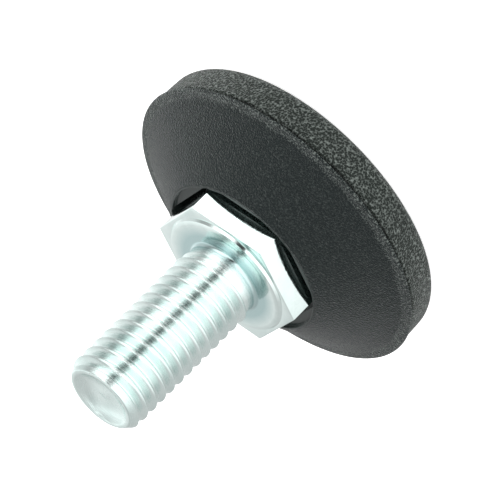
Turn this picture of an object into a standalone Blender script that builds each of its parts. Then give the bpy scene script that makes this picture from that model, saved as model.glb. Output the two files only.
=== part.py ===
"""Furniture leveling foot: a hexagon bolt held in a moulded cone, with a separate sole under it.

Metres, +Z up. The origin is the middle of the sole's underside, on the bolt's axis.
Sizes below are in millimetres and are turned into metres where the meshes are made.
"""
from math import cos, pi, radians, sin, tan

import bmesh
import bpy

MM = 0.001

# Clearance kept between solids that touch, and how far cutting shapes reach past what they cut.
GAP = 0.3
OVERCUT = 0.1

# Sole: a turned disc with a rounded lower edge, a shallow dish below and a spigot above.
SOLE_R = 19.0
SOLE_FOOT_R = 18.85
SOLE_H = 4.25
SOLE_EDGE_R = 1.2
SOLE_TOP_CHAMFER = 0.2
DISH_R = 9.0
DISH_DEPTH = 0.4
DISH_WALL = 0.5
SPIGOT_R = 15.5
SPIGOT_H = 0.85

# Body: a cone with a narrow land round its rim, a round recess on top and a hexagon pocket for the
# bolt's head.
BODY_R = 19.2
RIM_CHAMFER = 0.15
RIM_SIDE_H = 0.05
RIM_FILLET_R = 0.25
RIM_LAND_IN_R = 18.15
RIM_LAND_RISE = 0.35
CONE_TOP_R = 10.1
CONE_TOP_Z = 10.4
RECESS_R = 9.95
RECESS_DEPTH = 0.45
POCKET_FLATS = 17.7
POCKET_CORNER_R = 0.5
POCKET_FLOOR_Z = 6.8

# Bolt: M10 x 1.5, hexagon head 17 mm across flats at its lower tolerance, washer face, short neck.
THREAD_MAJOR_R = 4.92
THREAD_MINOR_R = 4.08
THREAD_PITCH = 1.5
CREST_FLAT = 0.25
THREAD_START_Z = 14.5
HEAD_FLATS = 16.6
HEAD_H = 6.4
HEAD_CROWN_DROP = 0.75
HEAD_CROWN_INSET = 0.1
WASHER_FACE_R = 7.9
WASHER_FACE_H = 0.4
WASHER_FACE_BEVEL = 0.7
HEAD_TOP_Z = 13.5
NECK_R = 4.5
NECK_FILLET_R = 0.4
NECK_RUNOUT_H = 1.2
THREAD_LEAD_IN_H = 0.9
TIP_Z = 34.3
TIP_CHAMFER = 0.9
TIP_FACE_R = 4.2
TIP_DISH_R = 3.6
TIP_DISH_DEPTH = 0.7

# Facets round a full turn.
ROUND_STEPS = 72
THREAD_STEPS = 30
FILLET_STEPS = 4
SHARP_ANGLE = radians(35.0)


def clear_scene():
    """Remove whatever the new file holds."""
    for thing in list(bpy.data.objects):
        bpy.data.objects.remove(thing, do_unlink=True)


def make_material(name, colour, roughness, metallic):
    """A plain Principled material with one colour."""
    material = bpy.data.materials.new(name)
    material.use_nodes = True
    shader = material.node_tree.nodes["Principled BSDF"]
    shader.inputs["Base Color"].default_value = (*colour, 1.0)
    shader.inputs["Roughness"].default_value = roughness
    shader.inputs["Metallic"].default_value = metallic
    return material


def add_object(name, mesh_builder, material):
    """Put a finished bmesh into the scene as a smooth-shaded object with sharp corners."""
    mesh = bpy.data.meshes.new(name)
    mesh_builder.to_mesh(mesh)
    mesh_builder.free()
    if material is not None:
        mesh.materials.append(material)
    mesh.shade_smooth()
    mesh.set_sharp_from_angle(angle=SHARP_ANGLE)
    thing = bpy.data.objects.new(name, mesh)
    bpy.context.scene.collection.objects.link(thing)
    return thing


def as_tool(thing):
    """Mark an object as a shape that only serves a Boolean."""
    thing.hide_render = True
    thing.display_type = "WIRE"
    return thing


def add_boolean(target, tool, operation):
    """Combine a tool shape with the target by an exact Boolean."""
    modifier = target.modifiers.new(tool.name, "BOOLEAN")
    modifier.operation = operation
    modifier.solver = "EXACT"
    modifier.object = tool


def arc(centre_r, centre_z, radius, start_deg, end_deg, steps=FILLET_STEPS):
    """Points along an arc in the radius-height plane, both ends included."""
    points = []
    for step in range(steps + 1):
        angle = radians(start_deg + (end_deg - start_deg) * step / steps)
        points.append((centre_r + radius * cos(angle), centre_z + radius * sin(angle)))
    return points


def turned(outline, steps=ROUND_STEPS):
    """Turn an outline of (radius, height) points, axis to axis, about Z into a closed solid."""
    shape = bmesh.new()
    corners = [shape.verts.new((r * MM, 0.0, z * MM)) for r, z in outline]
    for first, second in zip(corners, corners[1:]):
        shape.edges.new((first, second))
    bmesh.ops.spin(
        shape, geom=shape.verts[:] + shape.edges[:], cent=(0, 0, 0), axis=(0, 0, 1),
        angle=2 * pi, steps=steps, use_merge=True, use_normal_flip=False)
    bmesh.ops.remove_doubles(shape, verts=shape.verts[:], dist=1e-7)
    bmesh.ops.recalc_face_normals(shape, faces=shape.faces[:])
    return shape


def hexagon_prism(flats, low_z, high_z, corner_r=0.0):
    """A hexagonal prism with a corner on +X, its upright edges rounded if corner_r is given."""
    shape = bmesh.new()
    circumradius = flats / 2 / cos(pi / 6)
    ring = []
    for corner in range(6):
        angle = corner * pi / 3
        across = (circumradius * MM * cos(angle), circumradius * MM * sin(angle), low_z * MM)
        ring.append(shape.verts.new(across))
    base = shape.faces.new(ring)
    lifted = bmesh.ops.extrude_face_region(shape, geom=[base])["geom"]
    top = [item for item in lifted if isinstance(item, bmesh.types.BMVert)]
    bmesh.ops.translate(shape, verts=top, vec=(0, 0, (high_z - low_z) * MM))
    if corner_r > 0:
        upright = [
            edge for edge in shape.edges
            if abs(edge.verts[0].co.z - edge.verts[1].co.z) > 0.5 * (high_z - low_z) * MM]
        bmesh.ops.bevel(
            shape, geom=upright, offset=corner_r * MM, offset_type="OFFSET", segments=3,
            profile=0.5, affect="EDGES")
    bmesh.ops.recalc_face_normals(shape, faces=shape.faces[:])
    return shape


def thread_form(low_z, high_z):
    """A threaded bar, its helix right-handed, cut flat at both ends."""
    shape = bmesh.new()
    flank = (THREAD_MAJOR_R - THREAD_MINOR_R) * tan(pi / 6)
    root_flat = THREAD_PITCH - CREST_FLAT - 2 * flank
    start_z = low_z - 2 * THREAD_PITCH
    one_pitch = [
        (THREAD_MINOR_R, 0.0),
        (THREAD_MINOR_R, root_flat),
        (THREAD_MAJOR_R, root_flat + flank),
        (THREAD_MAJOR_R, root_flat + flank + CREST_FLAT),
        (THREAD_MINOR_R, THREAD_PITCH)]
    corners = [shape.verts.new((r * MM, 0.0, (start_z + z) * MM)) for r, z in one_pitch]
    for first, second in zip(corners, corners[1:]):
        shape.edges.new((first, second))
    turns = int((high_z - low_z) / THREAD_PITCH) + 4
    bmesh.ops.spin(
        shape, geom=shape.verts[:] + shape.edges[:], cent=(0, 0, 0), axis=(0, 0, 1),
        dvec=(0, 0, THREAD_PITCH * MM / THREAD_STEPS), angle=2 * pi * turns,
        steps=THREAD_STEPS * turns, use_merge=False)
    bmesh.ops.remove_doubles(shape, verts=shape.verts[:], dist=1e-6)
    for height, outward in ((low_z, -1.0), (high_z, 1.0)):
        bmesh.ops.bisect_plane(
            shape, geom=shape.verts[:] + shape.edges[:] + shape.faces[:], dist=1e-8,
            plane_co=(0, 0, height * MM), plane_no=(0, 0, outward), clear_outer=True)
        open_edges = [edge for edge in shape.edges if edge.is_boundary]
        end_edges = [
            edge for edge in open_edges
            if all(abs(vert.co.z - height * MM) < 1e-7 for vert in edge.verts)]
        bmesh.ops.edgeloop_fill(shape, edges=end_edges)
    bmesh.ops.recalc_face_normals(shape, faces=shape.faces[:])
    return shape


def make_sole():
    """The disc that stands on the floor."""
    foot_edge = arc(SOLE_FOOT_R - SOLE_EDGE_R, SOLE_EDGE_R, SOLE_EDGE_R, -90, 0, 6)
    outline = [
        (0.0, DISH_DEPTH), (DISH_R - DISH_WALL, DISH_DEPTH), (DISH_R, 0.0),
        *foot_edge,
        (SOLE_R, SOLE_H - SOLE_TOP_CHAMFER), (SOLE_R - SOLE_TOP_CHAMFER, SOLE_H),
        (SPIGOT_R, SOLE_H), (SPIGOT_R, SOLE_H + SPIGOT_H), (0.0, SOLE_H + SPIGOT_H)]
    material = make_material("sole_rubber", (0.055, 0.056, 0.058), 0.85, 0.0)
    return add_object("sole", turned(outline), material)


def make_base_body():
    """The moulded cone that holds the bolt's head."""
    low_z = SOLE_H + GAP
    socket_r = SPIGOT_R + GAP
    socket_z = SOLE_H + SPIGOT_H + GAP
    rim = arc(BODY_R - RIM_FILLET_R, low_z + RIM_SIDE_H, RIM_FILLET_R, 0, 75)
    recess_z = CONE_TOP_Z - RECESS_DEPTH
    outline = [
        (0.0, socket_z), (socket_r, socket_z), (socket_r, low_z),
        (BODY_R - RIM_CHAMFER, low_z), *rim, (RIM_LAND_IN_R, low_z + RIM_LAND_RISE),
        (CONE_TOP_R, CONE_TOP_Z), (RECESS_R, CONE_TOP_Z), (RECESS_R, recess_z), (0.0, recess_z)]
    material = make_material("body_plastic", (0.022, 0.023, 0.024), 0.5, 0.0)
    body = add_object("base_body", turned(outline), material)
    pocket_shape = hexagon_prism(POCKET_FLATS, POCKET_FLOOR_Z, HEAD_TOP_Z, POCKET_CORNER_R)
    pocket = as_tool(add_object("pocket_cutter", pocket_shape, None))
    add_boolean(body, pocket, "DIFFERENCE")
    return body


def make_hex_bolt():
    """The steel bolt: head, washer face, neck and thread in one piece."""
    head_low_z = HEAD_TOP_Z - HEAD_H
    hexagon_z = HEAD_TOP_Z - WASHER_FACE_H
    circumradius = HEAD_FLATS / 2 / cos(pi / 6)
    material = make_material("zinc_plated_steel", (0.72, 0.76, 0.76), 0.25, 1.0)
    bolt = add_object("hex_bolt", hexagon_prism(HEAD_FLATS, head_low_z, hexagon_z), material)

    crown_r = HEAD_FLATS / 2 - HEAD_CROWN_INSET
    side_r = circumradius + OVERCUT
    crown = [
        (0.0, head_low_z - OVERCUT), (crown_r, head_low_z - OVERCUT), (crown_r, head_low_z),
        (side_r, head_low_z + HEAD_CROWN_DROP), (side_r, HEAD_TOP_Z), (0.0, HEAD_TOP_Z)]
    crown_tool = as_tool(add_object("head_crown", turned(crown), None))
    add_boolean(bolt, crown_tool, "INTERSECT")

    neck_root_z = hexagon_z - HEAD_H / 4
    neck_top_z = THREAD_START_Z + NECK_RUNOUT_H
    fillet = arc(NECK_R + NECK_FILLET_R, HEAD_TOP_Z + NECK_FILLET_R, NECK_FILLET_R, 270, 180)
    neck = [
        (0.0, neck_root_z), (WASHER_FACE_R, neck_root_z), (WASHER_FACE_R, hexagon_z),
        (WASHER_FACE_R - WASHER_FACE_BEVEL, HEAD_TOP_Z), *fillet,
        (NECK_R, THREAD_START_Z + NECK_RUNOUT_H / 4), (THREAD_MINOR_R - OVERCUT, neck_top_z),
        (0.0, neck_top_z)]
    neck_tool = as_tool(add_object("neck_and_washer_face", turned(neck), None))
    add_boolean(bolt, neck_tool, "UNION")

    thread_shape = thread_form(THREAD_START_Z - OVERCUT, TIP_Z + OVERCUT)
    thread = as_tool(add_object("thread_form", thread_shape, None))
    crest_r = THREAD_MAJOR_R + OVERCUT
    blank = [
        (0.0, THREAD_START_Z), (THREAD_MINOR_R - OVERCUT / 2, THREAD_START_Z),
        (crest_r, THREAD_START_Z + THREAD_LEAD_IN_H), (crest_r, TIP_Z - TIP_CHAMFER),
        (TIP_FACE_R, TIP_Z), (TIP_DISH_R, TIP_Z), (TIP_DISH_R * 0.6, TIP_Z - TIP_DISH_DEPTH * 0.75),
        (0.0, TIP_Z - TIP_DISH_DEPTH)]
    blank_tool = as_tool(add_object("stud_blank", turned(blank), None))
    add_boolean(thread, blank_tool, "INTERSECT")
    add_boolean(bolt, thread, "UNION")
    return bolt


def main():
    """Build the three pieces."""
    clear_scene()
    make_sole()
    make_base_body()
    make_hex_bolt()


main()
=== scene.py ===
"""Looks of the furniture leveling foot: a zinc-plated bolt, a moulded cone and a sole, on a pale floor."""
from math import atan2, cos, hypot, pi, radians, sin, tau

import bpy
from bpy.props import FloatProperty, FloatVectorProperty, IntProperty, PointerProperty
from mathutils import Matrix, Vector


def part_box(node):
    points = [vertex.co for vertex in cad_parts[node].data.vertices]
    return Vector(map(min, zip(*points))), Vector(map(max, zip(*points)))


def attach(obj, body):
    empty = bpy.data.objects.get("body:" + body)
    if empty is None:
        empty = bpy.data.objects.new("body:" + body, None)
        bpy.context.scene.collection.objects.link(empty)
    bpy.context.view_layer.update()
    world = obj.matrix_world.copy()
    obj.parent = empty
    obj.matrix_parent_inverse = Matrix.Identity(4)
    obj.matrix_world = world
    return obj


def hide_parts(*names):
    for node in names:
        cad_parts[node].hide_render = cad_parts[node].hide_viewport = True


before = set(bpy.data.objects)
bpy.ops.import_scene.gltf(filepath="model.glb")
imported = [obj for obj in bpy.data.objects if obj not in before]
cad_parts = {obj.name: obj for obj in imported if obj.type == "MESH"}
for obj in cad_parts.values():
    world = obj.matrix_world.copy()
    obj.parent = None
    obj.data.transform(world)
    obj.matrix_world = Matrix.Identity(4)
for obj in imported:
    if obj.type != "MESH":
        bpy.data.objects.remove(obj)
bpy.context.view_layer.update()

SOLE_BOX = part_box("sole")
BODY_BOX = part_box("base_body")
BOLT_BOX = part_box("hex_bolt")

bl_info = {
    "name": "Furniture leveling foot",
    "version": (1, 0, 0),
    "blender": (4, 5, 0),
    "location": "3D View > Sidebar > Leveling foot",
    "description": "Models the bolt, the cone and the sole of a leveling foot around its packed frame",
    "category": "Object",
}

MM = 0.001

# Vertices closer than this are one vertex.
WELD = 1e-7
# How far a tool shape stands past what it cuts, or is sunk into what it joins.
CLEAR = 1.0 * MM
SPARE = 0.1 * MM
# Facets round the pieces.
BASE_FACETS = 192
BOLT_FACETS = 144
CROWN_FACETS = 96

# Radius of the small flat disc on which the cone's outline starts and ends.
HUB_RADIUS = 1.0 * MM
# Width of the cut that softens the cone's inner edges.
SOFTENED = 0.06 * MM
# Softened inner edge of the land: distances out from its radius and up from its height.
LAND_EDGE = ((0.12 * MM, -0.01 * MM), (-0.1 * MM, 0.08 * MM))

# Uneven upper edge of the sole: waves round the sole, their phase in radians and their share.
EDGE_WAVES = ((7, 0.6, 1.0), (17, 2.1, 0.8), (29, 0.0, 0.6))
EDGE_WAVE_HEIGHT = 0.035 * MM
# The same edge is pulled in by up to twice this share of its radius, in waves of its own.
EDGE_PULL_SHARE = 0.0012
EDGE_PULL_WAVES = 11
EDGE_PULL_PHASE = 1.3
# The uneven edge reaches this far in from the sole's side, and starts this high above the ground.
EDGE_REACH = 0.5 * MM
EDGE_START = 2.0 * MM

# Thread outline over one pitch: its points, the shares of the climb at which the flank leaves the
# root and meets the crest, and how softly it does so.
THREAD_POINTS = 18
ROOT_SHARE = 0.15
CREST_SHARE = 0.84
FLANK_SOFTNESS = 0.09

# Rounded rim of the washer face: distances in from its radius and down from its top.
WASHER_RIM = ((0.2 * MM, 0.12 * MM), (0.55 * MM, 0.02 * MM), (0.8 * MM, 0.0))
# Plain neck: how much it narrows, and how far it reaches into the thread.
NECK_TAPER = 0.02 * MM
NECK_REACH = 0.3 * MM
CORE_REACH = 1.4 * MM
# The thread rises out of the neck over this height.
THREAD_LEAD_IN = 0.9 * MM
# Chamfer of the tip: distances in from the crests and down from the tip.
TIP_CHAMFER = ((-SPARE, 1.1 * MM), (0.3 * MM, 0.65 * MM))
# Rounded edge of the tip: its radius, and how far its middle is in from the crests.
TIP_EDGE_RADIUS = 0.25 * MM
TIP_EDGE_INSET = 0.9 * MM
# Dish in the bolt's tip, from its edge inwards: radius and depth.
TIP_DISH = (
    (3.7 * MM, 0.0), (3.5 * MM, 0.12 * MM), (3.1 * MM, 0.4 * MM), (2.2 * MM, 0.7 * MM),
    (1.2 * MM, 0.84 * MM), (0.6 * MM, 0.78 * MM), (0.3 * MM, 0.74 * MM))


class FootSizes(bpy.types.PropertyGroup):
    """Sizes that the frame's boxes don't give."""

    sole_edge: FloatProperty(
        name="Sole edge", description="Radius of the sole's lower edge",
        default=1.2 * MM, unit="LENGTH")
    sole_taper: FloatProperty(
        name="Sole taper", description="How much smaller the sole's radius is at the ground",
        default=0.15 * MM, unit="LENGTH")
    sole_lip: FloatProperty(
        name="Sole lip", description="Radius of the sole's upper edge",
        default=0.25 * MM, unit="LENGTH")
    sole_top: FloatProperty(
        name="Sole top", description="Height of the sole's shoulder under the body",
        default=4.25 * MM, unit="LENGTH")
    dish_radius: FloatProperty(
        name="Dish radius", description="Radius of the shallow dish under the sole",
        default=9.0 * MM, unit="LENGTH")
    dish_depth: FloatProperty(
        name="Dish depth", description="Depth of the shallow dish under the sole",
        default=0.4 * MM, unit="LENGTH")
    dish_wall: FloatProperty(
        name="Dish wall", description="Width of the sloping wall round the dish",
        default=0.5 * MM, unit="LENGTH")
    dish_hub: FloatProperty(
        name="Dish hub", description="Radius of the flat middle of the dish",
        default=0.6 * MM, unit="LENGTH")
    spigot_radius: FloatProperty(
        name="Spigot radius", description="Radius of the sole's plug inside the body",
        default=15.5 * MM, unit="LENGTH")
    press_gap: FloatProperty(
        name="Gap round the plug", description="Gap between the sole's plug and the body",
        default=0.3 * MM, unit="LENGTH")
    rim_chamfer: FloatProperty(
        name="Rim chamfer", description="Width of the cut on the body's lower edge",
        default=0.15 * MM, unit="LENGTH")
    rim_side: FloatProperty(
        name="Rim side", description="Height of the body's upright side above its underside",
        default=0.05 * MM, unit="LENGTH")
    rim_fillet: FloatProperty(
        name="Rim fillet", description="Radius of the body's rounded rim",
        default=0.25 * MM, unit="LENGTH")
    land_radius: FloatProperty(
        name="Land radius", description="Inner radius of the narrow land round the rim",
        default=18.15 * MM, unit="LENGTH")
    land_rise: FloatProperty(
        name="Land rise", description="Height of the land's inner edge above the body's underside",
        default=0.35 * MM, unit="LENGTH")
    cone_top_radius: FloatProperty(
        name="Cone top radius", description="Radius where the cone meets the recess",
        default=10.1 * MM, unit="LENGTH")
    recess_radius: FloatProperty(
        name="Recess radius", description="Radius of the round recess on the cone",
        default=9.95 * MM, unit="LENGTH")
    recess_depth: FloatProperty(
        name="Recess depth", description="Depth of the round recess on the cone",
        default=0.45 * MM, unit="LENGTH")
    pocket_flats: FloatProperty(
        name="Pocket across flats", description="Width of the hexagon pocket",
        default=17.7 * MM, unit="LENGTH")
    pocket_floor: FloatProperty(
        name="Pocket floor", description="Height of the pocket's floor above the ground",
        default=6.8 * MM, unit="LENGTH")
    pocket_corner: FloatProperty(
        name="Pocket corners", description="Radius of the pocket's upright corners",
        default=0.5 * MM, unit="LENGTH")
    head_flats: FloatProperty(
        name="Head across flats", description="Width of the bolt's hexagon",
        default=16.6 * MM, unit="LENGTH")
    head_height: FloatProperty(
        name="Head height", description="Height of the head with its washer face",
        default=6.4 * MM, unit="LENGTH")
    head_crown: FloatProperty(
        name="Head crown", description="Height over which the head's lower corners are cut back",
        default=0.75 * MM, unit="LENGTH")
    head_edge: FloatProperty(
        name="Head edges", description="Width of the rounding on the hexagon's edges",
        default=0.12 * MM, unit="LENGTH")
    washer_radius: FloatProperty(
        name="Washer face radius", description="Outer radius of the head's washer face",
        default=7.9 * MM, unit="LENGTH")
    washer_height: FloatProperty(
        name="Washer face height", description="How far the washer face stands above the hexagon",
        default=0.4 * MM, unit="LENGTH")
    neck_radius: FloatProperty(
        name="Neck radius", description="Radius of the plain neck under the thread",
        default=4.5 * MM, unit="LENGTH")
    neck_fillet: FloatProperty(
        name="Neck fillet", description="Radius between the washer face and the neck",
        default=0.45 * MM, unit="LENGTH")
    neck_height: FloatProperty(
        name="Neck height", description="Height of the neck above the washer face",
        default=1.0 * MM, unit="LENGTH")
    thread_major: FloatProperty(
        name="Thread outside radius", description="Radius over the thread's crests",
        default=4.9 * MM, unit="LENGTH")
    thread_minor: FloatProperty(
        name="Thread root radius", description="Radius at the thread's roots",
        default=4.08 * MM, unit="LENGTH")
    thread_pitch: FloatProperty(
        name="Thread pitch", description="Rise of one turn of the thread",
        default=1.5 * MM, unit="LENGTH")
    thread_steps: IntProperty(
        name="Thread steps", description="Facets in one turn of the thread", default=96, min=24)


class FootColours(bpy.types.PropertyGroup):
    """Colours of the foot and of its floor."""

    zinc: FloatVectorProperty(
        name="Zinc", description="Bright zinc plating", subtype="COLOR", default=(0.79, 0.89, 0.87))
    zinc_dull: FloatVectorProperty(
        name="Dull zinc", description="Plating where it is cloudy", subtype="COLOR",
        default=(0.62, 0.75, 0.73))
    plastic: FloatVectorProperty(
        name="Plastic", description="Black plastic of the cone", subtype="COLOR",
        default=(0.006, 0.011, 0.011))
    sole: FloatVectorProperty(
        name="Sole", description="Dark grey of the sole", subtype="COLOR",
        default=(0.010, 0.015, 0.012))
    # On the cone's land and rim these tips are turned up to full strength as a painted highlight;
    # elsewhere they are the grain's own colour.
    grain_tips: FloatVectorProperty(
        name="Grain tips", description="Pale tips of the moulded grain", subtype="COLOR",
        default=(0.15, 0.17, 0.158))
    # Painted reflection: darker bluish zinc on the washer face and the neck, standing in for the neck
    # mirrored in the washer face.
    painted_neck_reflection: FloatVectorProperty(
        name="Painted reflection at the neck", description="Bluish film on the zinc round the neck", subtype="COLOR",
        default=(0.46, 0.61, 0.61))
    floor: FloatVectorProperty(
        name="Floor", description="Pale studio floor", subtype="COLOR", default=(0.95, 0.95, 0.95))
    floor_mottle: FloatVectorProperty(
        name="Floor mottle", description="Floor where it is mottled", subtype="COLOR",
        default=(0.93, 0.93, 0.93))


def deselect_everything():
    """Leave nothing selected and nothing in edit mode."""
    if bpy.context.object is not None and bpy.context.object.mode != "OBJECT":
        bpy.ops.object.mode_set(mode="OBJECT")
    bpy.ops.object.select_all(action="DESELECT")


def make_active(piece):
    """Select one object only and make it the active one."""
    deselect_everything()
    piece.select_set(True)
    bpy.context.view_layer.objects.active = piece


def settle(piece, name):
    """Name a piece and put its place into its mesh."""
    make_active(piece)
    piece.name = name
    piece.data.name = name
    bpy.ops.object.transform_apply(location=True, rotation=True, scale=True)


def face_outwards(piece):
    """Weld doubles and turn every face outwards."""
    make_active(piece)
    bpy.ops.object.mode_set(mode="EDIT")
    bpy.ops.mesh.select_all(action="SELECT")
    bpy.ops.mesh.remove_doubles(threshold=WELD)
    bpy.ops.mesh.normals_make_consistent(inside=False)
    bpy.ops.object.mode_set(mode="OBJECT")


def shade_round(piece, sharp_degrees):
    """Shade a piece smooth except at its corners."""
    make_active(piece)
    bpy.ops.object.shade_smooth_by_angle(angle=radians(sharp_degrees))


def apply_boolean(piece, tool, operation):
    """Combine a piece with a tool shape, then throw the tool away."""
    make_active(piece)
    modifier = piece.modifiers.new(operation.title(), "BOOLEAN")
    modifier.operation = operation
    modifier.solver = "EXACT"
    modifier.object = tool
    bpy.ops.object.modifier_apply(modifier=modifier.name)
    bpy.data.objects.remove(tool, do_unlink=True)


def apply_bevel(piece, width, segments, sharp_degrees):
    """Round the sharp edges of a piece."""
    make_active(piece)
    modifier = piece.modifiers.new("Edge rounding", "BEVEL")
    modifier.width = width
    modifier.segments = segments
    modifier.limit_method = "ANGLE"
    modifier.angle_limit = radians(sharp_degrees)
    modifier.use_clamp_overlap = True
    bpy.ops.object.modifier_apply(modifier=modifier.name)


def arc(centre_radius, centre_height, radius, start_degrees, end_degrees, steps):
    """Points along an arc in the radius-height plane, both ends included."""
    points = []
    for step in range(steps + 1):
        angle = radians(start_degrees + (end_degrees - start_degrees) * step / steps)
        points.append((centre_radius + radius * cos(angle), centre_height + radius * sin(angle)))
    return points


def raise_rings(name, outline, facets):
    """Raise a round piece ring by ring from a flat disc, as an outline of radius and height."""
    deselect_everything()
    first_radius, first_height = outline[0]
    bpy.ops.mesh.primitive_circle_add(
        vertices=facets, radius=first_radius, fill_type="NGON", location=(0, 0, first_height),
        rotation=(0, 0, pi / facets))
    piece = bpy.context.object
    settle(piece, name)
    bpy.ops.object.mode_set(mode="EDIT")
    bpy.ops.mesh.select_all(action="SELECT")
    radius, height = first_radius, first_height
    for next_radius, next_height in outline[1:]:
        bpy.ops.mesh.extrude_region_move(
            TRANSFORM_OT_translate={"value": (0, 0, next_height - height)})
        ratio = next_radius / radius
        bpy.ops.transform.resize(value=(ratio, ratio, 1), center_override=(0, 0, next_height))
        radius, height = next_radius, next_height
    bpy.ops.object.mode_set(mode="OBJECT")
    face_outwards(piece)
    return piece


def hexagon_block(name, flats, low, high):
    """A hexagonal block with a corner on +X."""
    deselect_everything()
    bpy.ops.mesh.primitive_cylinder_add(
        vertices=6, radius=flats / 2 / cos(pi / 6), depth=high - low,
        location=(0, 0, (low + high) / 2), rotation=(0, 0, radians(30)))
    piece = bpy.context.object
    settle(piece, name)
    return piece


def round_uprights(piece, width, segments):
    """Round the six upright edges of a hexagonal block."""
    make_active(piece)
    bpy.ops.object.mode_set(mode="EDIT")
    bpy.ops.mesh.select_mode(type="EDGE")
    bpy.ops.mesh.select_all(action="DESELECT")
    bpy.ops.object.mode_set(mode="OBJECT")
    for edge in piece.data.edges:
        low, high = (piece.data.vertices[index].co for index in edge.vertices)
        edge.select = hypot(low.x - high.x, low.y - high.y) < 10 * WELD
    bpy.ops.object.mode_set(mode="EDIT")
    bpy.ops.mesh.bevel(offset=width, offset_type="OFFSET", segments=segments, profile=0.5)
    bpy.ops.object.mode_set(mode="OBJECT")


def add_frame(tree, label, nodes):
    """Group nodes under a labelled frame."""
    group = tree.nodes.new("NodeFrame")
    group.label = label
    for node in nodes:
        node.parent = group


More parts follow.
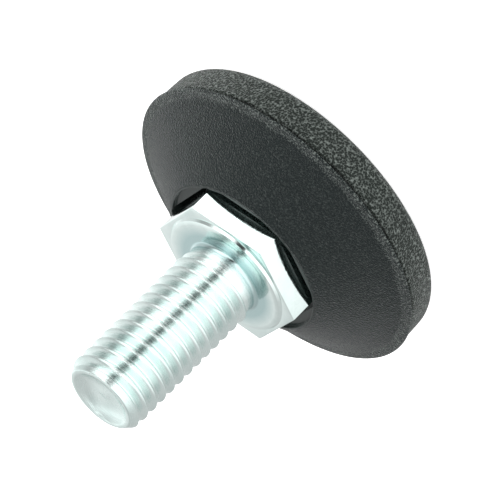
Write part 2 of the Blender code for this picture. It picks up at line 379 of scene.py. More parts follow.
def zinc_material(colours, sizes, head_top):
    """Bright zinc plating: cloudy patches, rolling lines on the thread, a painted reflection round the
    neck, pits.
    """
    material = bpy.data.materials.new("bright_zinc_plating")
    material.use_nodes = True
    tree = material.node_tree
    tree.nodes.clear()

    output = tree.nodes.new("ShaderNodeOutputMaterial")
    output.label = "Surface of the bolt"
    output.location = (1300, 0)
    shader = tree.nodes.new("ShaderNodeBsdfPrincipled")
    shader.label = "Zinc"
    shader.location = (1000, 0)
    place = tree.nodes.new("ShaderNodeTexCoord")
    place.label = "Place on the bolt"
    place.location = (-1500, 0)

    clouds = tree.nodes.new("ShaderNodeTexNoise")
    clouds.label = "Cloudy plating"
    clouds.location = (-900, 400)
    cloud_colour = tree.nodes.new("ShaderNodeMix")
    cloud_colour.label = "Bright to dull zinc"
    cloud_colour.location = (-300, 400)
    cloud_contrast = tree.nodes.new("ShaderNodeMapRange")
    cloud_contrast.label = "Where the plating is dull"
    cloud_contrast.location = (-600, 400)

    flat = tree.nodes.new("ShaderNodeCombineXYZ")
    flat.label = "Place seen along the bolt"
    flat.location = (-1100, 900)
    reach = tree.nodes.new("ShaderNodeVectorMath")
    reach.label = "Distance from the axis"
    reach.location = (-900, 900)
    near_neck = tree.nodes.new("ShaderNodeMapRange")
    near_neck.label = "Close round the neck"
    near_neck.location = (-700, 900)
    low_down = tree.nodes.new("ShaderNodeMapRange")
    low_down.label = "Close to the head"
    low_down.location = (-700, 650)
    # Painted reflection: the zinc is tinted darker and bluer close round the neck and low on it, as the
    # neck mirrored in the washer face.
    painted_reflection = tree.nodes.new("ShaderNodeMath")
    painted_reflection.label = "Painted reflection round the neck"
    painted_reflection.location = (-450, 800)
    painted_reflection_colour = tree.nodes.new("ShaderNodeMix")
    painted_reflection_colour.label = "Zinc to film"
    painted_reflection_colour.location = (0, 600)

    smears = tree.nodes.new("ShaderNodeTexNoise")
    smears.label = "Roughness patches"
    smears.location = (-900, 100)
    smear_range = tree.nodes.new("ShaderNodeMapRange")
    smear_range.label = "Gloss from bright to satin"
    smear_range.location = (-600, 100)
    line_gloss = tree.nodes.new("ShaderNodeMapRange")
    line_gloss.label = "Rolled lines are duller or brighter"
    line_gloss.location = (-200, -300)
    gloss = tree.nodes.new("ShaderNodeMath")
    gloss.label = "Patches and lines together"
    gloss.location = (100, 0)

    split = tree.nodes.new("ShaderNodeSeparateXYZ")
    split.label = "Across and along the bolt"
    split.location = (-1300, -500)
    turn = tree.nodes.new("ShaderNodeMath")
    turn.label = "Angle round the bolt"
    turn.location = (-1100, -400)
    turns = tree.nodes.new("ShaderNodeMath")
    turns.label = "Part of a turn"
    turns.location = (-950, -400)
    pitches = tree.nodes.new("ShaderNodeMath")
    pitches.label = "Height in pitches"
    pitches.location = (-1100, -600)
    helix = tree.nodes.new("ShaderNodeMath")
    helix.label = "Height above the helix"
    helix.location = (-800, -500)
    phase = tree.nodes.new("ShaderNodeMath")
    phase.label = "Place between two roots"
    phase.location = (-650, -500)
    lines = tree.nodes.new("ShaderNodeTexNoise")
    lines.label = "Rolling lines along the thread"
    lines.location = (-450, -500)
    on_thread = tree.nodes.new("ShaderNodeMapRange")
    on_thread.label = "Above the head"
    on_thread.location = (-450, -1100)
    thread_lines = tree.nodes.new("ShaderNodeMath")
    thread_lines.label = "Lines on the thread only"
    thread_lines.location = (-200, -600)
    pits = tree.nodes.new("ShaderNodeTexNoise")
    pits.label = "Small pits and grains"
    pits.location = (-450, -800)
    line_bump = tree.nodes.new("ShaderNodeBump")
    line_bump.label = "Relief of the lines"
    line_bump.location = (300, -500)
    pit_bump = tree.nodes.new("ShaderNodeBump")
    pit_bump.label = "Relief of the pits"
    pit_bump.location = (600, -500)

    add_frame(tree, "Cloudy colour", (clouds, cloud_contrast, cloud_colour))
    add_frame(tree, "Uneven gloss", (smears, smear_range, line_gloss, gloss))
    # This frame holds the painted reflection round the neck.
    add_frame(tree, "Painted reflection at the neck", (flat, reach, near_neck, low_down, painted_reflection, painted_reflection_colour))
    add_frame(tree, "Rolled thread", (
        split, turn, turns, pitches, helix, phase, lines, on_thread, thread_lines, line_bump))
    add_frame(tree, "Pits", (pits, pit_bump))

    shader.inputs["Metallic"].default_value = 1.0
    clouds.inputs["Scale"].default_value = 170.0
    clouds.inputs["Detail"].default_value = 3.0
    clouds.inputs["Roughness"].default_value = 0.6
    cloud_contrast.inputs["From Min"].default_value = 0.42
    cloud_contrast.inputs["From Max"].default_value = 0.78
    cloud_colour.data_type = "RGBA"
    cloud_colour.inputs["A"].default_value = (*colours.zinc, 1.0)
    cloud_colour.inputs["B"].default_value = (*colours.zinc_dull, 1.0)
    smears.inputs["Scale"].default_value = 420.0
    smears.inputs["Detail"].default_value = 4.0
    smear_range.inputs["From Min"].default_value = 0.3
    smear_range.inputs["From Max"].default_value = 0.75
    smear_range.inputs["To Min"].default_value = 0.13
    smear_range.inputs["To Max"].default_value = 0.27
    reach.operation = "LENGTH"
    near_neck.inputs["From Min"].default_value = sizes.washer_radius - 0.8 * MM
    near_neck.inputs["From Max"].default_value = sizes.washer_radius - 2.2 * MM
    low_down.inputs["From Min"].default_value = head_top + 1.5 * MM
    low_down.inputs["From Max"].default_value = head_top
    painted_reflection.operation = "MULTIPLY"
    painted_reflection_colour.data_type = "RGBA"
    painted_reflection_colour.inputs["B"].default_value = (*colours.painted_neck_reflection, 1.0)
    on_thread.inputs["From Min"].default_value = head_top - 0.1 * MM
    on_thread.inputs["From Max"].default_value = head_top + 0.5 * MM
    thread_lines.operation = "MULTIPLY"
    line_gloss.inputs["From Min"].default_value = 0.3
    line_gloss.inputs["From Max"].default_value = 0.7
    line_gloss.inputs["To Min"].default_value = -0.08
    line_gloss.inputs["To Max"].default_value = 0.1
    gloss.operation = "ADD"
    turn.operation = "ARCTAN2"
    turns.operation = "DIVIDE"
    turns.inputs[1].default_value = tau
    pitches.operation = "DIVIDE"
    pitches.inputs[1].default_value = sizes.thread_pitch
    helix.operation = "SUBTRACT"
    phase.operation = "FRACT"
    lines.noise_dimensions = "1D"
    lines.inputs["Scale"].default_value = 26.0
    lines.inputs["Detail"].default_value = 2.0
    pits.inputs["Scale"].default_value = 2600.0
    pits.inputs["Detail"].default_value = 2.0
    line_bump.inputs["Strength"].default_value = 0.4
    line_bump.inputs["Distance"].default_value = 0.04 * MM
    pit_bump.inputs["Strength"].default_value = 0.2
    pit_bump.inputs["Distance"].default_value = 0.03 * MM

    link = tree.links.new
    link(place.outputs["Object"], clouds.inputs["Vector"])
    link(clouds.outputs["Fac"], cloud_contrast.inputs["Value"])
    link(cloud_contrast.outputs["Result"], cloud_colour.inputs["Factor"])
    link(cloud_colour.outputs["Result"], painted_reflection_colour.inputs["A"])
    link(split.outputs["X"], flat.inputs["X"])
    link(split.outputs["Y"], flat.inputs["Y"])
    link(flat.outputs["Vector"], reach.inputs[0])
    link(reach.outputs["Value"], near_neck.inputs["Value"])
    link(split.outputs["Z"], low_down.inputs["Value"])
    link(near_neck.outputs["Result"], painted_reflection.inputs[0])
    link(low_down.outputs["Result"], painted_reflection.inputs[1])
    link(painted_reflection.outputs["Value"], painted_reflection_colour.inputs["Factor"])
    link(painted_reflection_colour.outputs["Result"], shader.inputs["Base Color"])
    link(place.outputs["Object"], smears.inputs["Vector"])
    link(smears.outputs["Fac"], smear_range.inputs["Value"])
    link(smear_range.outputs["Result"], gloss.inputs[0])
    link(line_gloss.outputs["Result"], gloss.inputs[1])
    link(gloss.outputs["Value"], shader.inputs["Roughness"])
    link(place.outputs["Object"], split.inputs["Vector"])
    link(split.outputs["Y"], turn.inputs[0])
    link(split.outputs["X"], turn.inputs[1])
    link(turn.outputs["Value"], turns.inputs[0])
    link(split.outputs["Z"], pitches.inputs[0])
    link(pitches.outputs["Value"], helix.inputs[0])
    link(turns.outputs["Value"], helix.inputs[1])
    link(helix.outputs["Value"], phase.inputs[0])
    link(phase.outputs["Value"], lines.inputs["W"])
    link(split.outputs["Z"], on_thread.inputs["Value"])
    link(lines.outputs["Fac"], thread_lines.inputs[0])
    link(on_thread.outputs["Result"], thread_lines.inputs[1])
    link(thread_lines.outputs["Value"], line_bump.inputs["Height"])
    link(thread_lines.outputs["Value"], line_gloss.inputs["Value"])
    link(place.outputs["Object"], pits.inputs["Vector"])
    link(pits.outputs["Fac"], pit_bump.inputs["Height"])
    link(line_bump.outputs["Normal"], pit_bump.inputs["Normal"])
    link(pit_bump.outputs["Normal"], shader.inputs["Normal"])
    link(shader.outputs["BSDF"], output.inputs["Surface"])
    return material


def moulded_material(
        name, dark, pale, grain_scale, grain_depth, roughness, smooth_inside, pale_outside):
    """Moulded plastic or rubber with an etched grain.

    It is smooth within one radius of the axis, where a painted reflection makes it paler; its grain tips
    are palest outside a second radius, which on the cone is a painted highlight along the rim.
    """
    material = bpy.data.materials.new(name)
    material.use_nodes = True
    tree = material.node_tree
    tree.nodes.clear()

    output = tree.nodes.new("ShaderNodeOutputMaterial")
    output.label = "Surface of the moulding"
    output.location = (1300, 0)
    shader = tree.nodes.new("ShaderNodeBsdfPrincipled")
    shader.label = "Moulding"
    shader.location = (1000, 0)
    place = tree.nodes.new("ShaderNodeTexCoord")
    place.label = "Place on the moulding"
    place.location = (-1500, 0)

    split = tree.nodes.new("ShaderNodeSeparateXYZ")
    split.label = "Across the moulding"
    split.location = (-1200, 500)
    flat = tree.nodes.new("ShaderNodeCombineXYZ")
    flat.label = "Place seen from above"
    flat.location = (-1000, 500)
    distance = tree.nodes.new("ShaderNodeVectorMath")
    distance.label = "Distance from the axis"
    distance.location = (-800, 500)
    grained = tree.nodes.new("ShaderNodeMapRange")
    grained.label = "Where the mould was etched"
    grained.location = (-600, 500)
    # Painted highlight: outside this radius the grain tips are at their palest, for the light caught by
    # the cone's rounded rim; on the sole it covers the whole sole and leaves only its grain.
    grain_and_highlight_band = tree.nodes.new("ShaderNodeMapRange")
    grain_and_highlight_band.label = "Where the grain is palest"
    grain_and_highlight_band.location = (-600, 750)

    cells = tree.nodes.new("ShaderNodeTexVoronoi")
    cells.label = "Grain of the mould"
    cells.location = (-900, -100)
    fuzz = tree.nodes.new("ShaderNodeTexNoise")
    fuzz.label = "Uneven grain"
    fuzz.location = (-900, -400)
    relief = tree.nodes.new("ShaderNodeMath")
    relief.label = "Grain height"
    relief.location = (-600, -200)
    etched = tree.nodes.new("ShaderNodeMath")
    etched.label = "Grain only on the etched area"
    etched.location = (-300, -200)
    bump = tree.nodes.new("ShaderNodeBump")
    bump.label = "Relief of the grain"
    bump.location = (300, -300)

    tips = tree.nodes.new("ShaderNodeMapRange")
    tips.label = "Pale tips of the grain"
    tips.location = (-300, 200)
    # Painted reflection: the smooth, unetched areas are painted paler, as if they mirrored a bright wall.
    painted_smooth_reflection = tree.nodes.new("ShaderNodeMapRange")
    painted_smooth_reflection.label = "Smooth areas are a little paler"
    painted_smooth_reflection.location = (-300, 750)
    # Adds the grain tips, with their painted highlight at the rim, to the painted reflection on the smooth
    # areas.
    grain_and_painted_light = tree.nodes.new("ShaderNodeMath")
    grain_and_painted_light.label = "Grain tips and smooth areas"
    grain_and_painted_light.location = (-50, 500)
    tips_and_highlight = tree.nodes.new("ShaderNodeMath")
    tips_and_highlight.label = "Tips and band together"
    tips_and_highlight.location = (-150, 350)
    colour = tree.nodes.new("ShaderNodeMix")
    colour.label = "Dark to pale"
    colour.location = (50, 200)
    shine = tree.nodes.new("ShaderNodeMapRange")
    shine.label = "Smooth areas shine more"
    shine.location = (0, 500)

    add_frame(tree, "Etched area", (split, flat, distance, grained, grain_and_highlight_band, shine))
    add_frame(tree, "Grain", (cells, fuzz, relief, etched, bump))
    # The colour mixes the grain's tips with a painted highlight at the rim and a painted reflection on the
    # smooth areas.
    add_frame(tree, "Colour of the grain", (tips, tips_and_highlight, painted_smooth_reflection, grain_and_painted_light, colour))

    distance.operation = "LENGTH"
    grained.inputs["From Min"].default_value = smooth_inside
    grained.inputs["From Max"].default_value = smooth_inside + 0.1 * MM
    # Inside the painted highlight the grain tips keep a fifth of their paleness.
    grain_and_highlight_band.inputs["From Min"].default_value = pale_outside - 0.3 * MM
    grain_and_highlight_band.inputs["From Max"].default_value = pale_outside
    grain_and_highlight_band.inputs["To Min"].default_value = 0.2
    tips_and_highlight.operation = "MULTIPLY"
    # Strength of the painted reflection on the smooth areas.
    painted_smooth_reflection.inputs["To Min"].default_value = 0.12
    painted_smooth_reflection.inputs["To Max"].default_value = 0.0
    grain_and_painted_light.operation = "ADD"
    cells.inputs["Scale"].default_value = grain_scale
    fuzz.inputs["Scale"].default_value = grain_scale * 1.3
    fuzz.inputs["Detail"].default_value = 3.0
    fuzz.inputs["Roughness"].default_value = 0.65
    relief.operation = "ADD"
    etched.operation = "MULTIPLY"
    bump.inputs["Strength"].default_value = 1.0
    bump.inputs["Distance"].default_value = grain_depth
    tips.inputs["From Min"].default_value = 0.95
    tips.inputs["From Max"].default_value = 1.45
    colour.data_type = "RGBA"
    colour.inputs["A"].default_value = (*dark, 1.0)
    colour.inputs["B"].default_value = (*pale, 1.0)
    shine.inputs["To Min"].default_value = roughness * 0.45
    shine.inputs["To Max"].default_value = roughness
    shader.inputs["Specular IOR Level"].default_value = 0.2
    shader.inputs["Sheen Weight"].default_value = 0.22
    shader.inputs["Sheen Roughness"].default_value = 0.25

    link = tree.links.new
    link(place.outputs["Object"], split.inputs["Vector"])
    link(split.outputs["X"], flat.inputs["X"])
    link(split.outputs["Y"], flat.inputs["Y"])
    link(flat.outputs["Vector"], distance.inputs[0])
    link(distance.outputs["Value"], grained.inputs["Value"])
    link(distance.outputs["Value"], grain_and_highlight_band.inputs["Value"])
    link(grained.outputs["Result"], shine.inputs["Value"])
    link(place.outputs["Object"], cells.inputs["Vector"])
    link(place.outputs["Object"], fuzz.inputs["Vector"])
    link(cells.outputs["Distance"], relief.inputs[0])
    link(fuzz.outputs["Fac"], relief.inputs[1])
    link(relief.outputs["Value"], etched.inputs[0])
    link(grained.outputs["Result"], etched.inputs[1])
    link(etched.outputs["Value"], bump.inputs["Height"])
    link(etched.outputs["Value"], tips.inputs["Value"])
    link(tips.outputs["Result"], tips_and_highlight.inputs[0])
    link(grain_and_highlight_band.outputs["Result"], tips_and_highlight.inputs[1])
    link(grained.outputs["Result"], painted_smooth_reflection.inputs["Value"])
    link(tips_and_highlight.outputs["Value"], grain_and_painted_light.inputs[0])
    link(painted_smooth_reflection.outputs["Result"], grain_and_painted_light.inputs[1])
    link(grain_and_painted_light.outputs["Value"], colour.inputs["Factor"])
    link(colour.outputs["Result"], shader.inputs["Base Color"])
    link(shine.outputs["Result"], shader.inputs["Roughness"])
    link(bump.outputs["Normal"], shader.inputs["Normal"])
    link(shader.outputs["BSDF"], output.inputs["Surface"])
    return material


def check_closed(piece):
    """Raise an error if an edge of a finished piece doesn't join exactly two faces."""
    uses = {}
    for face in piece.data.polygons:
        for key in face.edge_keys:
            uses[key] = uses.get(key, 0) + 1
    faulty = sum(1 for count in uses.values() if count != 2)
    if faulty:
        raise RuntimeError(f"{piece.name} has {faulty} edges that don't join two faces")


def finish_piece(piece, material, node):
    """Check a piece, give it its material and tie it to the frame."""
    check_closed(piece)
    piece.data.materials.clear()
    piece.data.materials.append(material)
    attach(piece, "root")
    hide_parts(node)


def roughen_upper_edge(sole, radius):
    """Make the sole's upper edge a little uneven."""
    for vertex in sole.data.vertices:
        at = vertex.co
        if hypot(at.x, at.y) > radius - EDGE_REACH and at.z > EDGE_START:
            angle = atan2(at.y, at.x)
            wave = sum(share * sin(waves * angle + phase) for waves, phase, share in EDGE_WAVES)
            at.z += EDGE_WAVE_HEIGHT * wave
            shrink = 1 - EDGE_PULL_SHARE * (1 + sin(EDGE_PULL_WAVES * angle + EDGE_PULL_PHASE))
            at.x *= shrink
            at.y *= shrink


class FOOT_OT_sole(bpy.types.Operator):
    """Model the sole with its rounded lower edge and uneven upper edge"""

    bl_idname = "foot.sole"
    bl_label = "Sole"

    def execute(self, context):
        sizes = context.scene.foot_sizes
        colours = context.scene.foot_colours
        top_radius = SOLE_BOX[1][0]
        foot_radius = top_radius - sizes.sole_taper
        edge = sizes.sole_edge
        lip = sizes.sole_lip
        outline = [
            (sizes.dish_hub, sizes.dish_depth),
            (sizes.dish_radius - sizes.dish_wall, sizes.dish_depth), (sizes.dish_radius, 0.0),
            *arc(foot_radius - edge, edge, edge, -90, 0, 10),
            *arc(top_radius - lip, sizes.sole_top - lip, lip, 0, 90, 4),
            (sizes.spigot_radius, sizes.sole_top), (sizes.spigot_radius, SOLE_BOX[1][2])]
        sole = raise_rings("sole_disc", outline, BASE_FACETS)
        roughen_upper_edge(sole, top_radius)
        shade_round(sole, 40)
        material = moulded_material(
            "coarse_grained_rubber", colours.sole, colours.grain_tips, grain_scale=4200.0,
            grain_depth=0.16 * MM, roughness=0.7, smooth_inside=-1.0 * MM, pale_outside=1.0 * MM)
        finish_piece(sole, material, "sole")
        return {"FINISHED"}


class FOOT_OT_base_body(bpy.types.Operator):
    """Model the cone with its rim, its round recess and its hexagon pocket"""

    bl_idname = "foot.base_body"
    bl_label = "Cone"

    def execute(self, context):
        sizes = context.scene.foot_sizes
        colours = context.scene.foot_colours
        low = BODY_BOX[0][2]
        top = BODY_BOX[1][2]
        rim_radius = BODY_BOX[1][0]
        fillet = sizes.rim_fillet
        socket_radius = sizes.spigot_radius + sizes.press_gap
        socket_top = SOLE_BOX[1][2] + sizes.press_gap
        land_top = low + sizes.land_rise
        recess_floor = top - sizes.recess_depth
        outline = [
            (HUB_RADIUS, socket_top), (socket_radius, socket_top), (socket_radius, low),
            (rim_radius - sizes.rim_chamfer, low),
            *arc(rim_radius - fillet, low + sizes.rim_side, fillet, 0, 75, 6),
            *((sizes.land_radius + outwards, land_top + up) for outwards, up in LAND_EDGE),
            (sizes.cone_top_radius + SOFTENED, top - SOFTENED / 2), (sizes.cone_top_radius, top),
            (sizes.recess_radius + SOFTENED, top), (sizes.recess_radius, top - SOFTENED),
            (sizes.recess_radius, recess_floor + SOFTENED),
            (sizes.recess_radius - SOFTENED, recess_floor), (HUB_RADIUS, recess_floor)]
        body = raise_rings("base_cone", outline, BASE_FACETS)
        pocket = hexagon_block("pocket_tool", sizes.pocket_flats, sizes.pocket_floor, top + CLEAR)
        round_uprights(pocket, sizes.pocket_corner, 5)
        apply_boolean(body, pocket, "DIFFERENCE")
        face_outwards(body)
        shade_round(body, 25)
        # On the cone the grain tips are palest on the land and rim, a painted highlight, and the smooth
        # recess and pocket are painted paler, a painted reflection.
        material = moulded_material(
            "fine_grained_plastic", colours.plastic, colours.grain_tips, grain_scale=5200.0,
            grain_depth=0.13 * MM, roughness=0.52, smooth_inside=sizes.cone_top_radius + 0.05 * MM,
            pale_outside=sizes.land_radius)
        finish_piece(body, material, "base_body")
        return {"FINISHED"}


def soft_clamp(value, low, high, softness):
    """Share of the way from low to high, kept within 0 and 1, with rounded shoulders."""
    share = (value - low) / (high - low)
    samples = 9
    total = 0.0
    for index in range(samples):
        offset = (index / (samples - 1) - 0.5) * 2 * softness
        total += min(1.0, max(0.0, share + offset))
    return total / samples


def thread_bar(sizes, low, high):
    """A threaded bar: one pitch of the thread's outline, screwed up and closed at both ends."""
    pitch = sizes.thread_pitch
    start = low - 2 * pitch
    turns = int((high - low) / pitch) + 4
    deselect_everything()
    bpy.ops.mesh.primitive_plane_add(
        size=pitch, location=(sizes.thread_minor, 0, start + pitch / 2), rotation=(0, pi / 2, 0))
    bar = bpy.context.object
    settle(bar, "thread_bar")
    bpy.ops.object.mode_set(mode="EDIT")
    bpy.ops.mesh.select_all(action="SELECT")
    bpy.ops.mesh.delete(type="ONLY_FACE")
    bpy.ops.mesh.select_all(action="DESELECT")
    bpy.ops.object.mode_set(mode="OBJECT")
    for vertex in bar.data.vertices:
        vertex.select = vertex.co.y > 0
    bpy.ops.object.mode_set(mode="EDIT")
    bpy.ops.mesh.select_mode(type="VERT")
    bpy.ops.mesh.delete(type="VERT")
    bpy.ops.mesh.select_all(action="SELECT")
    bpy.ops.mesh.subdivide(number_cuts=THREAD_POINTS - 1)
    bpy.ops.object.mode_set(mode="OBJECT")
    for vertex in bar.data.vertices:
        share = (vertex.co.z - start) / pitch
        climb = 1 - abs(2 * share - 1)
        lift = soft_clamp(climb, ROOT_SHARE, CREST_SHARE, FLANK_SOFTNESS)
        vertex.co.x = sizes.thread_minor + (sizes.thread_major - sizes.thread_minor) * lift
        vertex.co.y = 0
    make_active(bar)
    screw = bar.modifiers.new("Helix", "SCREW")
    screw.axis = "Z"
    screw.angle = tau
    screw.screw_offset = pitch
    screw.iterations = turns
    screw.steps = sizes.thread_steps
    screw.render_steps = sizes.thread_steps
    bpy.ops.object.modifier_apply(modifier=screw.name)
    face_outwards(bar)
    for height, outward in ((low, -1), (high, 1)):
        bpy.ops.object.mode_set(mode="EDIT")
        bpy.ops.mesh.select_all(action="SELECT")
        bpy.ops.mesh.bisect(
            plane_co=(0, 0, height), plane_no=(0, 0, outward), clear_outer=True, use_fill=True,
            threshold=WELD / 10)
        bpy.ops.object.mode_set(mode="OBJECT")
    face_outwards(bar)
    return bar


class FOOT_OT_bolt(bpy.types.Operator):
    """Model the bolt: hexagon head, washer face, neck and rolled thread"""

    bl_idname = "foot.bolt"
    bl_label = "Bolt"

    def execute(self, context):
        sizes = context.scene.foot_sizes
        colours = context.scene.foot_colours
        tip = BOLT_BOX[1][2]
        head_low = BOLT_BOX[0][2]
        head_top = head_low + sizes.head_height
        hexagon_top = head_top - sizes.washer_height
        thread_start = head_top + sizes.neck_height

        bolt = hexagon_block("zinc_bolt", sizes.head_flats, head_low, hexagon_top)
        past_corners = sizes.head_flats / 2 / cos(pi / 6) + SPARE
        crown = raise_rings(
            "crown_tool",
            [(sizes.head_flats / 2 - SPARE, head_low - SPARE / 10),
             (past_corners, head_low + sizes.head_crown), (past_corners, head_top + CLEAR)],
            CROWN_FACETS)
        apply_boolean(bolt, crown, "INTERSECT")
        apply_bevel(bolt, sizes.head_edge, 3, 25)

        fillet = sizes.neck_fillet
        neck = raise_rings(
            "neck_tool",
            [(sizes.washer_radius, hexagon_top - CLEAR), (sizes.washer_radius, hexagon_top),
             *((sizes.washer_radius - inwards, head_top - down) for inwards, down in WASHER_RIM),
             *arc(sizes.neck_radius + fillet, head_top + fillet, fillet, 270, 180, 6),
             (sizes.neck_radius - NECK_TAPER, thread_start + NECK_REACH),
             (sizes.thread_minor - SPARE, thread_start + CORE_REACH)],
            BOLT_FACETS)
        apply_boolean(bolt, neck, "UNION")

        thread = thread_bar(sizes, thread_start - 3 * SPARE, tip + 4 * SPARE)
        blank_low = thread_start - SPARE
        blank = raise_rings(
            "blank_tool",
            [(sizes.thread_minor - 2 * SPARE, blank_low),
             (sizes.thread_major + SPARE, blank_low + THREAD_LEAD_IN),
             *((sizes.thread_major - inwards, tip - down) for inwards, down in TIP_CHAMFER),
             *arc(sizes.thread_major - TIP_EDGE_INSET, tip - TIP_EDGE_RADIUS, TIP_EDGE_RADIUS,
                  20, 90, 5),
             *((radius, tip - depth) for radius, depth in TIP_DISH)],
            BOLT_FACETS)
        apply_boolean(thread, blank, "INTERSECT")
        apply_boolean(bolt, thread, "UNION")
        face_outwards(bolt)
        shade_round(bolt, 32)
        finish_piece(bolt, zinc_material(colours, sizes, head_top), "hex_bolt")
        return {"FINISHED"}


def floor_material(colours):
    """Pale floor lit from inside like a light table, faintly mottled."""
    material = bpy.data.materials.new("pale_floor")
    material.use_nodes = True
    tree = material.node_tree
    tree.nodes.clear()
    output = tree.nodes.new("ShaderNodeOutputMaterial")
    output.label = "Floor"
    output.location = (600, 0)
    shader = tree.nodes.new("ShaderNodeBsdfPrincipled")
    shader.label = "Glowing matt floor"
    shader.location = (300, 0)
    place = tree.nodes.new("ShaderNodeTexCoord")
    place.label = "Place on the floor"
    place.location = (-600, 0)
    mottle = tree.nodes.new("ShaderNodeTexNoise")
    mottle.label = "Faint mottle"
    mottle.location = (-400, 0)
    tone = tree.nodes.new("ShaderNodeMix")
    tone.label = "White to nearly white"
    tone.location = (-100, 0)
    mottle.inputs["Scale"].default_value = 6.0
    tone.data_type = "RGBA"
    tone.inputs["A"].default_value = (*colours.floor, 1.0)
    tone.inputs["B"].default_value = (*colours.floor_mottle, 1.0)
    shader.inputs["Roughness"].default_value = 0.9
    shader.inputs["Emission Color"].default_value = (1.0, 1.0, 1.0, 1.0)
    shader.inputs["Emission Strength"].default_value = 0.75
    tree.links.new(place.outputs["Object"], mottle.inputs["Vector"])
    tree.links.new(mottle.outputs["Fac"], tone.inputs["Factor"])
    tree.links.new(tone.outputs["Result"], shader.inputs["Base Color"])
    tree.links.new(shader.outputs["BSDF"], output.inputs["Surface"])
    return material


# Studio: where the camera stands, in degrees and metres, and where its rays cross the foot.
CAMERA_AZIMUTH = -113.8
CAMERA_ELEVATION = 26.08
CAMERA_ROLL = -134.9
CAMERA_DISTANCE = 0.519
CAMERA_LENS = 339.0
AIM_RIGHT = -2.867 * MM
AIM_UP = -2.83 * MM
SEAM_HEIGHT = 4.5 * MM

# Softbox: degrees round from the camera and above the ground, metres away and across, and watts.
SOFTBOX_ROUND = 130
SOFTBOX_ELEVATION = 10
SOFTBOX_DISTANCE = 0.6
SOFTBOX_SIZE = 0.4
SOFTBOX_POWER = 5.0
SOFTBOX_AIM_HEIGHT = 15 * MM

FLOOR_SIZE = 6.0
FLOOR_GAP = 0.05 * MM

# Light plan: degrees round from the camera, and how bright the walls are there.
WALLS = (
    (-180, 0.85), (-160, 0.6), (-125, 0.64), (-104, 0.66), (-84, 1.0), (-60, 1.45), (-26, 1.85),
    (2, 1.85), (9, 0.07), (25, 0.07), (33, 1.7), (52, 2.0), (71, 1.7), (82, 0.45), (98, 0.45),
    (112, 0.8), (135, 0.9), (155, 1.3), (172, 0.9), (180, 0.85))
WALL_PEAK = 2.2


def add_camera():
    """A long-lens camera above and beside the foot, rolled so that the bolt points down to the left."""
    azimuth = radians(CAMERA_AZIMUTH)
    elevation = radians(CAMERA_ELEVATION)
    turned = (
        Matrix.Rotation(azimuth + pi / 2, 4, "Z")
        @ Matrix.Rotation(pi / 2 - elevation, 4, "X")
        @ Matrix.Rotation(radians(CAMERA_ROLL), 4, "Z"))
    right = turned.col[0].to_3d()
    up = turned.col[1].to_3d()
    back = turned.col[2].to_3d()
    aim = Vector((0, 0, SEAM_HEIGHT)) + AIM_RIGHT * right + AIM_UP * up
    data = bpy.data.cameras.new("camera")
    data.lens = CAMERA_LENS
    data.sensor_width = 36.0
    data.clip_start = 0.01
    data.clip_end = 20.0
    camera = bpy.data.objects.new("camera", data)
    bpy.context.scene.collection.objects.link(camera)
    camera.matrix_world = Matrix.Translation(aim + CAMERA_DISTANCE * back) @ turned
    bpy.context.scene.camera = camera


def add_softbox():
    """A square softbox that faces the foot, and that the zinc doesn't mirror."""
    azimuth = radians(CAMERA_AZIMUTH + SOFTBOX_ROUND)
    elevation = radians(SOFTBOX_ELEVATION)
    outwards = Vector((
        cos(azimuth) * cos(elevation), sin(azimuth) * cos(elevation), sin(elevation)))
    data = bpy.data.lights.new("softbox_left", "AREA")
    data.size = SOFTBOX_SIZE
    data.energy = SOFTBOX_POWER
    softbox = bpy.data.objects.new("softbox_left", data)
    bpy.context.scene.collection.objects.link(softbox)
    softbox.location = outwards * SOFTBOX_DISTANCE + Vector((0, 0, SOFTBOX_AIM_HEIGHT))
    softbox.visible_glossy = False
    softbox.rotation_mode = "QUATERNION"
    softbox.rotation_quaternion = (-outwards).to_track_quat("-Z", "Y")


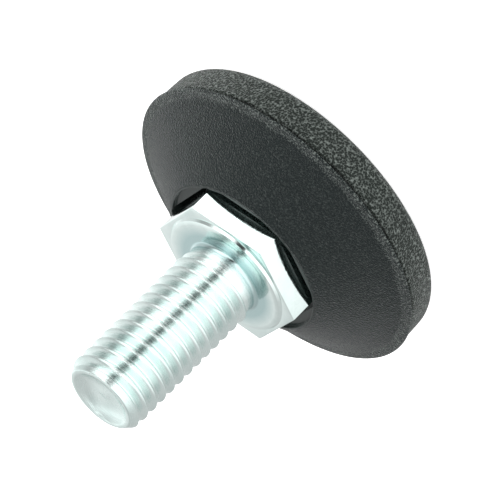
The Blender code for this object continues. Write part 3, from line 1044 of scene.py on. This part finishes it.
def light_room():
    """White walls round the foot, bright in front with one narrow dark gap, dimmer at the sides."""
    world = bpy.data.worlds.new("white_room")
    bpy.context.scene.world = world
    world.use_nodes = True
    tree = world.node_tree
    tree.nodes.clear()
    output = tree.nodes.new("ShaderNodeOutputWorld")
    output.label = "Room"
    output.location = (900, 0)
    glow = tree.nodes.new("ShaderNodeBackground")
    glow.label = "White walls"
    glow.location = (600, 0)
    direction = tree.nodes.new("ShaderNodeTexCoord")
    direction.label = "Direction into the room"
    direction.location = (-900, 0)
    turn = tree.nodes.new("ShaderNodeVectorRotate")
    turn.label = "Turn to the camera"
    turn.location = (-600, 0)
    compass = tree.nodes.new("ShaderNodeTexGradient")
    compass.label = "Round the compass"
    compass.location = (-300, 0)
    walls = tree.nodes.new("ShaderNodeValToRGB")
    walls.label = "Brightness of the walls"
    walls.location = (0, 0)
    turn.rotation_type = "Z_AXIS"
    turn.inputs["Angle"].default_value = -radians(CAMERA_AZIMUTH)
    compass.gradient_type = "RADIAL"
    ramp = walls.color_ramp
    for degrees, _ in WALLS[1:-1]:
        ramp.elements.new(0.5 + degrees / 360)
    for stop, (_, level) in zip(ramp.elements, WALLS):
        share = level / WALL_PEAK
        stop.color = (share, share, share, 1.0)
    glow.inputs["Strength"].default_value = WALL_PEAK
    tree.links.new(direction.outputs["Generated"], turn.inputs["Vector"])
    tree.links.new(turn.outputs["Vector"], compass.inputs["Vector"])
    tree.links.new(compass.outputs["Fac"], walls.inputs["Fac"])
    tree.links.new(walls.outputs["Color"], glow.inputs["Color"])
    tree.links.new(glow.outputs["Background"], output.inputs["Surface"])


class FOOT_OT_stage(bpy.types.Operator):
    """Set the pale floor, the soft light and the camera"""

    bl_idname = "foot.stage"
    bl_label = "Stage"

    def execute(self, context):
        deselect_everything()
        bpy.ops.mesh.primitive_plane_add(size=FLOOR_SIZE, location=(0, 0, SOLE_BOX[0][2] - FLOOR_GAP))
        floor = bpy.context.object
        settle(floor, "studio_floor")
        floor.data.materials.append(floor_material(context.scene.foot_colours))
        floor.visible_glossy = False
        light_room()
        add_softbox()
        add_camera()
        context.scene.view_settings.view_transform = "Standard"
        return {"FINISHED"}


class FOOT_PT_panel(bpy.types.Panel):
    """Sidebar panel with the foot's sizes, colours and steps"""

    bl_idname = "FOOT_PT_panel"
    bl_label = "Leveling foot"
    bl_space_type = "VIEW_3D"
    bl_region_type = "UI"
    bl_category = "Leveling foot"

    def draw(self, context):
        layout = self.layout
        for group in (context.scene.foot_sizes, context.scene.foot_colours):
            box = layout.box()
            for key in group.__annotations__:
                box.prop(group, key)
        for step in STEPS:
            layout.operator(step.bl_idname)


STEPS = (FOOT_OT_sole, FOOT_OT_base_body, FOOT_OT_bolt, FOOT_OT_stage)
CLASSES = (FootSizes, FootColours, *STEPS, FOOT_PT_panel)


def register():
    """Register the classes and hang the sizes and colours on the scene."""
    for item in CLASSES:
        bpy.utils.register_class(item)
    bpy.types.Scene.foot_sizes = PointerProperty(type=FootSizes)
    bpy.types.Scene.foot_colours = PointerProperty(type=FootColours)


def unregister():
    """Undo register."""
    del bpy.types.Scene.foot_colours
    del bpy.types.Scene.foot_sizes
    for item in reversed(CLASSES):
        bpy.utils.unregister_class(item)


def main():
    register()
    bpy.ops.foot.sole()
    bpy.ops.foot.base_body()
    bpy.ops.foot.bolt()
    bpy.ops.foot.stage()


if __name__ == "__main__":
    main()
